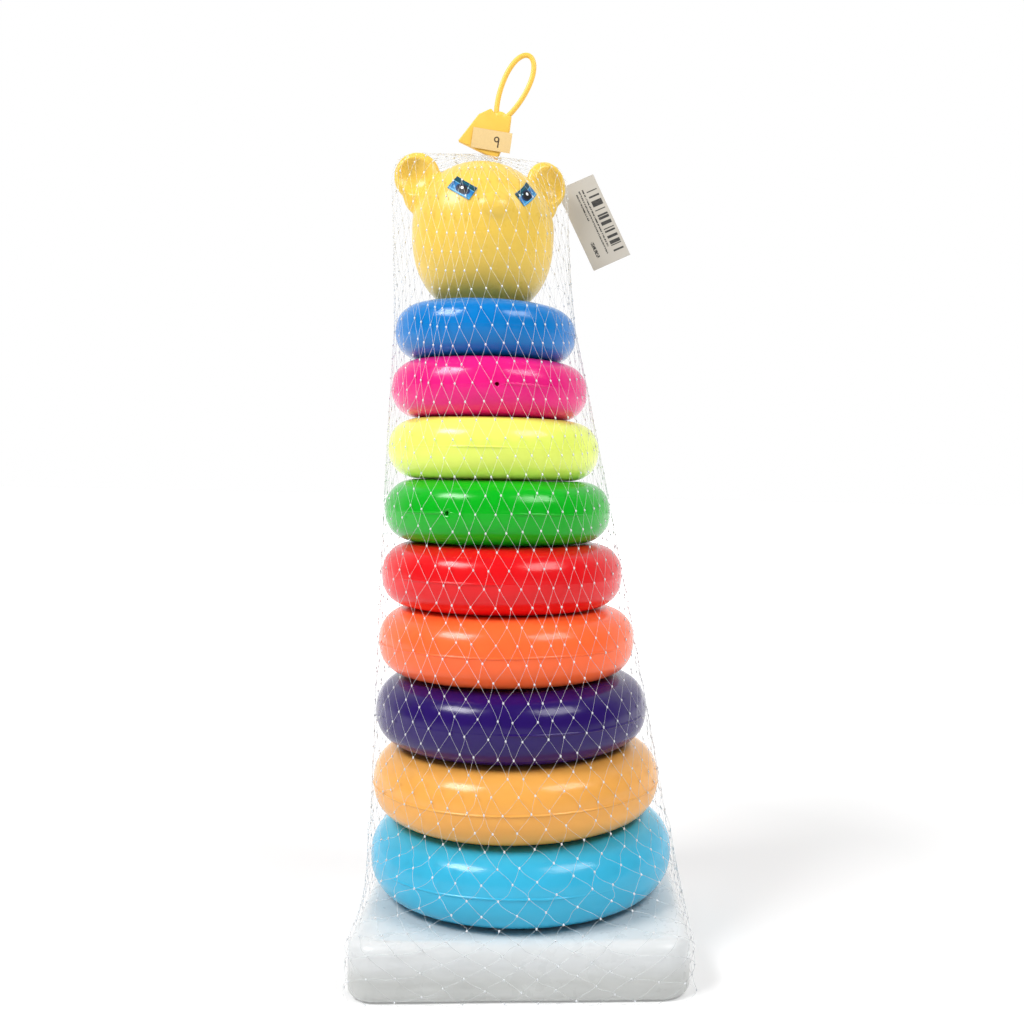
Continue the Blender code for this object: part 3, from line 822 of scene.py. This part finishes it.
STICKER_SIZE = (18.5, 9.5)  # in millimetres
STICKER_THICKNESS, TAG_THICKNESS = 0.16 * MM, 0.22 * MM
STICKER_PLACE, STICKER_TURN = Vector((4.2, -1.95, 7.0)) * MM, radians(-16.6)


def make_count_sticker():
    """A small paper label with a figure on it."""
    paper_tone, ink = colour(218, 190, 134), colour(40, 28, 22)
    art = Art("sticker_paper", paper_tone, Roughness=0.62)
    art.paint(art.oval(2.3, 0.7, 2.6, 2.8, 0.2), ink)
    art.paint(art.oval(2.3, 0.7, 1.3, 1.5, 0.3), paper_tone)
    art.paint(art.box(3.25, -0.9, 0.66, 4.4), ink)
    fibres = art.noise(1300, 4)
    shade = art.spread(fibres, 0.3, 0.7, 0.0, 0.14)
    tone = art.mix(shade, art.tone, colour(180, 146, 92))
    paper = art.to_shader(Base_Color=tone, Normal=art.bump(fibres, 0.03 * MM))
    turn = Matrix.Rotation(STICKER_TURN, 4, "Y")
    place = CLIP_PLACE @ Matrix.Translation(STICKER_PLACE) @ turn
    wide, high = STICKER_SIZE[0] / 2, STICKER_SIZE[1] / 2

    def curl(x, z):
        return -0.10 * (x / wide) ** 2

    corners, lay = ((-wide, -high), (wide, high)), flat_on(place, curl)
    sticker = printed_sheet("count_label", *corners, lay, STICKER_THICKNESS, paper)
    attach(sticker, "clip")
    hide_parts("count_sticker")


TAG_WIDTH, TAG_LENGTH = 20.0, 43.0  # in millimetres
TAG_LEAN = radians(-26.5)
TAG_SHIFT = Vector((1.4 * MM, 0, 0))  # it is stuck a little inwards of its hinge
# A made-up pattern of bars, as (place from the tag's top, thickness) in millimetres
TAG_BARS = [(-7.0 - 2.35 * i - 0.45 * (i % 3), 0.5 + 0.42 * (i * 5 % 4)) for i in range(14)]


def make_tag():
    """The label on the net, with a bar pattern and dashes in place of any text."""
    art = Art("tag_paper", colour(186, 181, 172), Roughness=0.55, Specular_IOR_Level=0.3)
    ink = colour(42, 42, 44)
    for place, thick in TAG_BARS:
        art.paint(art.box(15.9, place, 5.4, thick), ink)
    x, y = art.math("MULTIPLY", art.x, 0.9), art.math("MULTIPLY", art.y, 2.4)
    spot = art.node("CombineXYZ", X=x, Y=y).outputs[0]
    dashes = art.node("TexNoise", Vector=spot, Scale=1.0, Detail=0.0)
    broken = art.spread(dashes.outputs["Fac"], 0.42, 0.46, 0.0, 1.0)
    for line, (top, length) in enumerate(((-5, 30), (-5, 33), (-6, 14))):
        stripe = art.box(11.7 - 1.75 * line, top - length / 2, 0.75, length)
        art.paint(art.math("MULTIPLY", stripe, broken), ink)
    art.paint(art.math("MULTIPLY", art.box(5.0, -34.0, 1.7, 8.0), broken), ink)
    fibres = art.noise(1000, 4)
    tone = art.mix(art.spread(fibres, 0.3, 0.7, 0.0, 0.12), art.tone, colour(176, 170, 158))
    paper = art.to_shader(Base_Color=tone, Normal=art.bump(fibres, 0.025 * MM))
    corner = Matrix.Translation(joint_place("tag_flap") - TAG_SHIFT)
    place = corner @ Matrix.Rotation(TAG_LEAN, 4, "Y")

    def curl(x, z):
        return 1.1 * (x / TAG_WIDTH) ** 2 + 0.9 * (z / TAG_LENGTH) ** 2 * (x / TAG_WIDTH)

    corners, lay = ((0, -TAG_LENGTH), (TAG_WIDTH, 0)), flat_on(place, curl)
    tag = printed_sheet("price_label", *corners, lay, TAG_THICKNESS, paper)
    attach(tag, "tag")
    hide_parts("price_tag")


# ---------------------------------------------------------------- net's surface
NET_OFF_RINGS, NET_OFF_HEAD = 0.45 * MM, 1.1 * MM
HEM_OFF, HEM_PLAY = 0.9 * MM, 1.1 * MM
HEM_HIGH, HEM_BULGE = 11 * MM, 2.6 * MM  # of the loose stretch at its lower edge
NECK_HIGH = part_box("net_bag")[1].z - GAP
NECK_RADIUS = 1.9 * MM
NECK_BEND = 8 * MM  # the last stretch of the head, over which the net's middle moves to the clip
EARS_FROM = HEAD_LOW.z + 14 * MM  # above this the net is drawn round the head and the ears
TURNS = 264  # directions in which the surface is worked out


def taut_chain(x, y, order):
    """Which of the points, taken in order, a string drawn tight round them touches."""
    chain = []
    for i in order:
        while len(chain) > 1:
            a, b = chain[-2:]
            if (x[b] - x[a]) * (y[i] - y[a]) > (y[b] - y[a]) * (x[i] - x[a]):
                break
            chain.pop()
        chain.append(i)
    return chain


def concave_envelope(heights, radii):
    """The taut string over points given by height, as a radius at each of their heights."""
    chain = taut_chain(radii, heights, range(len(radii)))
    return np.interp(heights, heights[chain], radii[chain])


def around(radii, turns):
    """Radii that bridge each hollow in a level's outline, as a tight thread does."""
    x, y = radii * np.cos(turns), radii * np.sin(turns)
    order = sorted(range(len(x)), key=lambda i: (x[i], y[i]))
    hull = taut_chain(x, y, order)[:-1] + taut_chain(x, y, order[::-1])[:-1]
    made = radii.copy()
    for i, j in zip(hull, hull[1:] + hull[:1]):
        steps = (j - i) % len(x)
        if steps > len(x) // 2:
            continue
        dx, dy = x[j] - x[i], y[j] - y[i]
        for step in range(1, steps):
            m = (i + step) % len(x)
            reach = (x[i] * dy - y[i] * dx) / (cos(turns[m]) * dy - sin(turns[m]) * dx)
            made[m] = max(made[m], reach)
    return made


def ring_envelope():
    """Heights and radii of a taut line over the rings' outsides, from the bottom up."""
    points = []
    for node in RING_NODES:
        middle, radius, half_wide, half_thick = ring_measures(node)
        for angle in np.linspace(-0.9, 0.9, 13):
            across, up = section_point(angle, half_wide, half_thick)
            points.append((middle.z + up, radius - half_wide + across + NET_OFF_RINGS))
    heights, radii = (np.array(part) for part in zip(*points))
    return heights, concave_envelope(heights, radii)


def hem_radii(turns):
    """Distances from the base's middle to the net round it, by direction."""
    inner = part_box("base")[1].x - BASE_CORNER
    radii = []
    for turn in turns:
        # It stands further off on the side that comes inwards as it lifts along the leaning post
        corner = BASE_CORNER + HEM_OFF + HEM_PLAY * max(0.0, cos(turn))
        c, s = abs(cos(turn)), abs(sin(turn))
        reach = (inner + corner) / max(c, s)
        if min(c, s) * reach > inner:
            along = inner * (c + s)
            reach = along + sqrt(max(0.0, along**2 - 2 * inner**2 + corner**2))
        radii.append(reach)
    return np.array(radii)


def lower_levels(heights, turns):
    """Radii of the net by height and direction, up to the top ring's middle."""
    flare_from = LOWEST[0].z + 0.75 * LOWEST[3]
    low_ring, hem = LOWEST[1] + NET_OFF_RINGS, hem_radii(turns)
    ring_z, ring_r = ring_envelope()
    levels = []
    for z in heights:
        if z >= flare_from:
            levels.append(np.full(TURNS, np.interp(z, ring_z, ring_r)))
            continue
        share = ramp(z, flare_from, BASE_TOP - BASE_EDGE)
        levels.append(np.maximum(low_ring, low_ring + (hem - low_ring) * share**1.25))
    return np.array(levels)


def upper_levels(heights, middles, turns, head_tree):
    """Radii of the net by height and direction, from there over the head to the neck."""
    columns = []
    for turn in turns:
        out = heading(turn)
        radii = [HIGHEST[1] + NET_OFF_RINGS]
        for z, place in zip(heights, middles):
            middle = Vector((*place, z))
            found = head_tree.ray_cast(middle + out * 3 * HEAD_RADIUS, -out)[0]
            radii.append(max((found - middle).dot(out) if found else 0.0, 0.0) + NET_OFF_HEAD)
        radii[-1] = NECK_RADIUS
        columns.append(concave_envelope(np.append(HIGHEST[0].z, heights), np.array(radii))[1:])
    levels = np.array(columns).T
    for k, z in enumerate(heights):
        if z > EARS_FROM:
            levels[k] = around(levels[k], turns)
    return levels


def net_surface(head_tree):
    """The net's surface: heights from the top down, the middle of each level, and a table of
    radii by height and direction."""
    turns = np.arange(TURNS) * tau / TURNS
    stretches = ((0.8, 60, 1.0), (60, 296, 2.0), (296, 372, 1.0))  # (from, to, step), in mm
    heights = np.concatenate([np.arange(*stretch) for stretch in stretches]) * MM
    heights = np.append(heights[heights < NECK_HIGH], NECK_HIGH)
    share = np.clip((heights - HEAD_HIGH.z + NECK_BEND) / NECK_BEND, 0, 1)[:, None]
    stack = np.array([(lean_at(z), 0.0) for z in heights])
    middles = stack * (1 - share) + np.array(CLIP_FOOT.xy) * share
    low = heights <= HIGHEST[0].z
    upper = upper_levels(heights[~low], middles[~low], turns, head_tree)
    table = np.vstack([lower_levels(heights[low], turns), upper])
    for _ in range(3):
        smooth = (np.roll(table, 1, 1) + np.roll(table, -1, 1) + 2 * table) / 4
        table = np.maximum(table, smooth)
    return heights[::-1], middles[::-1], table[::-1]


class NetSurface:
    """Points of the net by direction and by length down from its neck."""

    def __init__(self, head_tree, hem_sway):
        self.heights, self.middles, self.radii = net_surface(head_tree)
        self.hem_sway = hem_sway
        dz = np.diff(self.heights)[:, None]
        dr = np.diff(self.radii, axis=0)
        lengths = np.cumsum(np.sqrt(dz**2 + dr**2), axis=0)
        self.lengths = np.vstack([np.zeros(TURNS), lengths])

    def column(self, table, turn):
        place = (turn % tau) / tau * TURNS
        first = int(place) % TURNS
        share = place - int(place)
        return table[:, first] * (1 - share) + table[:, (first + 1) % TURNS] * share

    def end(self, turn):
        return float(self.column(self.lengths, turn)[-1])

    def point(self, turn, length, lift=0.0):
        down = self.column(self.lengths, turn)
        radius = np.interp(length, down, self.column(self.radii, turn)) + lift
        x, y, z = (np.interp(length, down, v) for v in (*self.middles.T, self.heights))
        return Vector((x + radius * cos(turn), y + radius * sin(turn), z))

    def hang(self, turn, length, lift):
        """A point of the net, whose hem stands off the base in places."""
        point = self.point(turn, length, lift)
        bulge = ramp(point.z, HEM_HIGH, 0) * max(0.0, float(self.hem_sway(turn)) + 0.2)
        return point + heading(turn) * HEM_BULGE * bulge


# ---------------------------------------------------------------- net's threads and knots
NET_COLUMNS, MOST_ROWS = 44, 80
NET_LEG = 8.9 * MM  # between two knots
LEAST_LEG = 0.4 * MM  # anything shorter at the hem is left out
THREAD_RADIUS = 0.08 * MM
THREAD_SIDES, KNOT_SIDES = 3, 5
THREAD_COVER, KNOT_COVER = 0.42, 0.8  # share of the light that each wall stops
KNOT_RADII = (0.50 * MM, 0.38 * MM, 0.62 * MM)
KNOT_LIFT = 0.12 * MM
# The lengths down the net, in metres, at which each of these is nil and full
CROWDED = (0.11, 0.0)  # its cells crowd round the ears
WIDENED = (0.31, 0.37)  # its cells are wider in front
SLACK = (0.26, 0.36)  # its threads hang loose


def knot_direction(u, length, sway):
    """The direction of a knot that would be at u on an even net."""
    turn = u + 0.34 * ramp(length, *WIDENED) * sin(u + pi / 2)
    turn += 0.16 * ramp(length, *CROWDED) * sin(2 * (u - HEAD_TURN) + pi)
    turn += 0.05 * float(sway[0](u + 9 * length))
    return turn + 0.02 * float(sway[1](3 * u - 20 * length))


def net_knots(surface):
    """Rows of (direction, length down) for the knots, knitted down from the neck so that each
    leg has its full length."""
    random = np.random.default_rng(21)
    sway = [waves_of(random, 5, 1, 7) for _ in range(3)]
    rows, lengths = [], [0.0] * NET_COLUMNS
    for row in range(MOST_ROWS):
        us = [(j + 0.5 * (row % 2)) * tau / NET_COLUMNS for j in range(NET_COLUMNS)]
        turns = [knot_direction(u, s, sway) for u, s in zip(us, lengths)]
        ends = [surface.end(t) for t in turns]
        rows.append([(t, min(s, e)) for t, s, e in zip(turns, lengths, ends)])
        if all(s >= e for s, e in zip(lengths, ends)):
            break
        points = [surface.point(*knot) for knot in rows[-1]]
        following = []
        for j, u in enumerate(us):
            a, b = (j, (j + 1) % NET_COLUMNS) if row % 2 == 0 else (j - 1, j)
            apart = (points[a] - points[b]).length / 2
            drop = sqrt(max(NET_LEG**2 - apart**2, (0.5 * NET_LEG) ** 2))
            drop *= 1 + 0.03 * float(sway[2](u))
            following.append((lengths[a] + lengths[b]) / 2 + drop)
        for _ in range(2):
            last, first = following[-1:], following[:1]
            sides = zip(last + following[:-1], following, following[1:] + first)
            following = [(before + 2 * here + after) / 4 for before, here, after in sides]
        lengths = following
    return rows


def net_legs(rows):
    """The pairs of knots that a thread joins, from the neck down."""
    for row, (upper, lower) in enumerate(zip(rows, rows[1:])):
        for j, knot in enumerate(upper):
            for step in (0, 1):
                below = lower[(j - 1 + row % 2 + step) % NET_COLUMNS]
                if below[1] - knot[1] >= LEAST_LEG:
                    yield knot, below


def leg_strand(surface, knot, below, random):
    """(point, direction outwards) along a leg, which is less straight the lower it is."""
    (turn, length), (next_turn, next_length) = knot, below
    turned_by = (next_turn - turn + pi) % tau - pi
    slack = ramp(length, *SLACK)
    sag = float(random.normal()) * (0.10 + 0.75 * slack) * MM
    wave = float(random.normal()) * (0.03 + 0.35 * slack) * MM
    strand, pieces = [], 5 if slack > 0.2 else 4
    for i in range(pieces + 1):
        share = i / pieces
        at = turn + turned_by * share
        down = length + (next_length - length) * share
        bow = sag * sin(pi * share) + wave * sin(2 * pi * share)
        at += bow / max(10 * MM, hypot(*surface.point(at, down).xy))
        point = surface.hang(at, down, 0.25 * MM * slack * sin(pi * share))
        strand.append((point, heading(at)))
    return strand


def thread_shapes(strands):
    """(points, faces) of many thin threads."""
    points, faces = [], []
    for strand in strands:
        faces += shifted(closed_faces(len(strand), THREAD_SIDES), len(points))
        line = [point for point, _ in strand]
        ends = zip(line[:1] + line[:-1], line[1:] + line[-1:])
        for (point, out), (before, after) in zip(strand, ends):
            along = (after - before).normalized()
            across = along.cross(out).normalized()
            lift = across.cross(along)
            for side in range(THREAD_SIDES):
                turn = tau * (side + 0.5) / THREAD_SIDES
                points.append(point + THREAD_RADIUS * (across * cos(turn) + lift * sin(turn)))
    return points, faces


def knot_shape(point, down, out):
    """(points, faces) of a small bead, longer along the net's length."""
    across = down.cross(out).normalized()
    wide, deep, long = KNOT_RADII
    made = [point - down * long]
    for share in (-0.45, 0.45):
        for side in range(KNOT_SIDES):
            turn = tau * side / KNOT_SIDES
            outwards = across * wide * cos(turn) + out * deep * sin(turn)
            made.append(point + down * long * share + 0.85 * outwards)
    made.append(point + down * long)
    faces = []
    for a in range(1, KNOT_SIDES + 1):
        b = a % KNOT_SIDES + 1
        c, d = a + KNOT_SIDES, b + KNOT_SIDES
        faces += [(0, b, a), (a, b, d, c), (c, d, 2 * KNOT_SIDES + 1)]
    return made, faces


def knot_shapes(surface, rows):
    """(points, faces) of all the knots below the neck and above the hem."""
    points, faces = [], []
    for turn, length in (knot for row in rows[1:] for knot in row):
        end = surface.end(turn)
        if length >= end - 0.2 * MM:
            continue
        point = surface.hang(turn, length, KNOT_LIFT)
        below = surface.hang(turn, min(length + 2 * MM, end), KNOT_LIFT)
        down = (below - point).normalized()
        out = heading(turn)
        out = (out - down * out.dot(down)).normalized()
        made, knot_faces = knot_shape(point, down, out)
        faces += shifted(knot_faces, len(points))
        points += made
    return points, faces


def thread_material():
    surface = Surface(
        "net_thread",
        Subsurface_Weight=0.4,
        Subsurface_Radius=(1.0, 1.0, 1.0),
        Subsurface_Scale=0.3 * MM,
    )
    cloud = surface.spread(surface.noise(240, 2), 0.35, 0.65, 0.0, 1.0)
    base = surface.mix(cloud, shaded(THREAD_TONE, 0.92), THREAD_TONE)
    rough = surface.patches(2000, 2, 0.28, 0.45)
    twist = surface.bump(surface.noise(3500, 1), 0.02 * MM)
    # The thin threads let some of the colour behind them through, and the knots less
    knotted = surface.node("Attribute", {"attribute_name": "knotted"}).outputs["Fac"]
    dense = surface.spread(knotted, 0.0, 1.0, THREAD_COVER, KNOT_COVER)
    return surface.to_shader(Base_Color=base, Roughness=rough, Normal=twist, Alpha=dense)


def make_net(head_tree):
    random = np.random.default_rng(5)
    surface = NetSurface(head_tree, waves_of(random, 9, 5, 23))
    rows = net_knots(surface)
    strands = [leg_strand(surface, *leg, random) for leg in net_legs(rows)]
    points, faces = thread_shapes(strands)
    knot_points, knot_faces = knot_shapes(surface, rows)
    faces += shifted(knot_faces, len(points))
    net = new_piece("net_threads", points + knot_points, faces, thread_material())
    knotted = net.data.attributes.new("knotted", "FLOAT", "POINT")
    knotted.data.foreach_set("value", [0.0] * len(points) + [1.0] * len(knot_points))
    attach(net, "net")
    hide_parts("net_bag")


# ---------------------------------------------------------------- stage, lights and camera
FLOOR_HALF, FLOOR_DEPTH = 12.0, 0.01 * MM
ROOM_LIGHT = 0.21
WALL_FROM, WALL_TO = 0.05, 0.5  # in the world's Y, over which the room turns white
CAMERA_PLACE = (0.0115, -0.5219, 0.2160)
CAMERA_YAW, CAMERA_PITCH, CAMERA_ROLL = radians(3.54), radians(1.63), radians(1.16)
CAMERA_LENS, CAMERA_SHIFT = 38.92, -0.110


def make_stage():
    surface = Surface(
        "floor_paper",
        Roughness=0.8,
        Specular_IOR_Level=0.1,
        Emission_Color=(1, 1, 1, 1),
    )
    cloud = surface.patches(3, 2, 0.0, 1.0)
    tone = surface.mix(cloud, colour(226, 226, 226), colour(230, 230, 230))
    # Painted light: the paper glows, more so further away from the toy, as if lit from behind
    place = surface.node("TexCoord").outputs["Object"]
    level = surface.node("Mapping", Vector=place, Scale=(1, 1, 0)).outputs[0]
    away = surface.node("VectorMath", {"operation": "LENGTH"}, Vector=level).outputs["Value"]
    glow = surface.spread(away, 0.25, 1.2, 0.2, 1.0)
    # The painted glow is dimmer in a stretch before the toy, so that less of it shows in the
    # glossy rings
    along = surface.node("SeparateXYZ", Vector=place).outputs[1]
    behind = surface.spread(along, -0.45, 0.05, 0.25, 1.0)
    before = surface.spread(along, -3.2, -1.2, 1.0, 0.25)
    glow = surface.math("MULTIPLY", glow, surface.math("MAXIMUM", behind, before))
    paper = surface.to_shader(Base_Color=tone, Emission_Strength=glow)
    signs = ((-1, -1), (1, -1), (1, 1), (-1, 1))
    corners = [(x * FLOOR_HALF, y * FLOOR_HALF, -FLOOR_DEPTH) for x, y in signs]
    floor = new_piece("floor", corners, [(0, 1, 2, 3)], paper)


def area_light(name, place, target, wide, high, watts):
    data = bpy.data.lights.new(name, "AREA")
    data.shape = "RECTANGLE"
    data.size, data.size_y = wide, high
    data.energy = watts
    light = bpy.data.objects.new(name, data)
    bpy.context.scene.collection.objects.link(light)
    light.location = place
    light.rotation_mode = "QUATERNION"
    light.rotation_quaternion = (Vector(target) - Vector(place)).to_track_quat("-Z", "Y")


def make_lights():
    world = bpy.data.worlds.new("studio")
    bpy.context.scene.world = world
    world.use_nodes = True
    nodes, links = world.node_tree.nodes, world.node_tree.links
    # The room is dim in front of the toy, and has a white wall behind it
    place = nodes.new("ShaderNodeTexCoord")
    split = nodes.new("ShaderNodeSeparateXYZ")
    wall = nodes.new("ShaderNodeMapRange")
    links.new(place.outputs["Generated"], split.inputs[0])
    links.new(split.outputs[1], wall.inputs[0])
    for socket, value in zip(wall.inputs[1:5], (WALL_FROM, WALL_TO, ROOM_LIGHT, 1.0)):
        socket.default_value = value
    # The camera sees it white from every side
    seen, shown = nodes.new("ShaderNodeLightPath"), nodes.new("ShaderNodeMath")
    shown.operation = "MAXIMUM"
    links.new(wall.outputs[0], shown.inputs[0])
    links.new(seen.outputs["Is Camera Ray"], shown.inputs[1])
    links.new(shown.outputs[0], nodes["Background"].inputs[0])
    area_light("left", (-0.72, -0.50, 1.05), (-0.01, 0, 0.2), 0.52, 0.36, 12.7)
    area_light("right", (0.62, -0.52, 1.05), (0, 0, 0.2), 0.62, 0.44, 8.2)


def make_camera():
    data = bpy.data.cameras.new("camera")
    data.lens, data.sensor_width, data.shift_x = CAMERA_LENS, 36.0, CAMERA_SHIFT
    data.clip_start, data.clip_end = 0.01, 20
    camera = bpy.data.objects.new("camera", data)
    bpy.context.scene.collection.objects.link(camera)
    yaw = Matrix.Rotation(-CAMERA_YAW, 4, "Z")
    pitch = Matrix.Rotation(pi / 2 - CAMERA_PITCH, 4, "X")
    roll = Matrix.Rotation(CAMERA_ROLL, 4, "Z")
    camera.matrix_world = Matrix.Translation(CAMERA_PLACE) @ yaw @ pitch @ roll
    bpy.context.scene.camera = camera


# ---------------------------------------------------------------- build
make_camera()
bpy.context.scene.view_settings.view_transform = "Standard"
make_stage()
make_lights()
for number, (node, needle) in enumerate(zip(RING_NODES, NEEDLES), 1):
    make_ring(node, number, needle)
make_base()
make_post()
head_tree = tree_of(make_head())
print_on_eyes = eye_print()
make_eye("eye_left", -1, head_tree, print_on_eyes)
make_eye("eye_right", 1, head_tree, print_on_eyes)
make_clip()
make_count_sticker()
make_tag()
make_net(head_tree)
